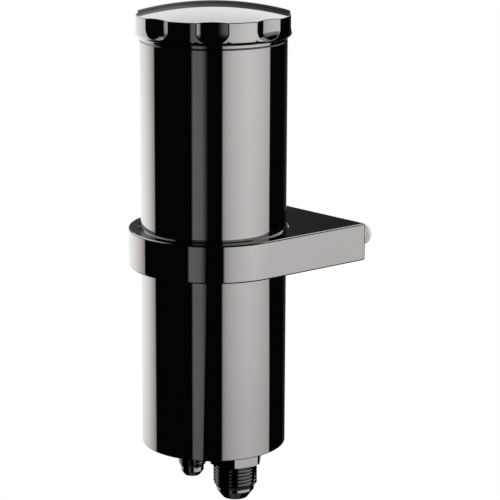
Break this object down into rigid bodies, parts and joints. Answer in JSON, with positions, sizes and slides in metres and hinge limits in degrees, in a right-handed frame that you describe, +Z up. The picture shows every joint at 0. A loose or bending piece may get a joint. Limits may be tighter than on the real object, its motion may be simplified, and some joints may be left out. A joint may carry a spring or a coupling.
{
  "type": "power steering reservoir",
  "caption": "Cylindrical remote fluid reservoir with a domed scalloped screw cap, a ring bracket with a flat mounting face, and a large and a small male flare fitting in the bottom.",
  "frame": {"origin": "centre of the bracket's flat mounting face, midway between its screws and at the bracket's mid-height", "axes": "+Y out of the mounting face towards the panel, +Z up along the tube's axis, +X towards the feed fitting"},
  "size_m": [0.0966, 0.1179, 0.2511],
  "materials": {
    "chromed_aluminium": "mirror polished, chrome plated",
    "plated_steel": "zinc plated, satin",
    "stainless_steel": "brushed",
    "plain_aluminium": "as machined",
    "sintered_bronze": "porous",
    "black_rubber": "matt",
    "white_nylon": "matt"
  },
  "bodies": {
    "reservoir": {"reservoir_body": "chromed_aluminium", "mounting_bracket": "chromed_aluminium", "mounting_screw_left": "plated_steel", "mounting_screw_right": "plated_steel", "bracket_set_screw": "stainless_steel", "set_screw_pad": "white_nylon", "feed_fitting": "chromed_aluminium", "return_fitting": "chromed_aluminium", "feed_port_o_ring": "black_rubber", "return_port_o_ring": "black_rubber", "return_standpipe": "plain_aluminium", "baffle_plate": "plain_aluminium", "baffle_snap_ring": "stainless_steel"},
    "cap_seal": {"cap_o_ring": "black_rubber"},
    "cap": {"filler_cap": "chromed_aluminium", "vent_plug": "sintered_bronze", "splash_shield": "stainless_steel", "shield_screw_1": "stainless_steel", "shield_screw_2": "stainless_steel", "shield_screw_3": "stainless_steel", "dipstick": "stainless_steel", "dipstick_pin": "stainless_steel"}
  },
  "joints": [
    {"name": "cap_lift", "type": "slide", "parent": "reservoir", "child": "cap_seal", "axis": [0, 0, 1], "range_m": [0, 0.01059]},
    {"name": "cap_turn", "type": "hinge", "parent": "cap_seal", "child": "cap", "pos_m": [0, -0.06033, 0.104], "axis": [0, 0, 1], "range_deg": [0, 1800]}
  ],
  "couplings": [
    {"joint": "cap_lift", "follows": "cap_turn", "m_per_rad": 0.00033688}
  ]
}
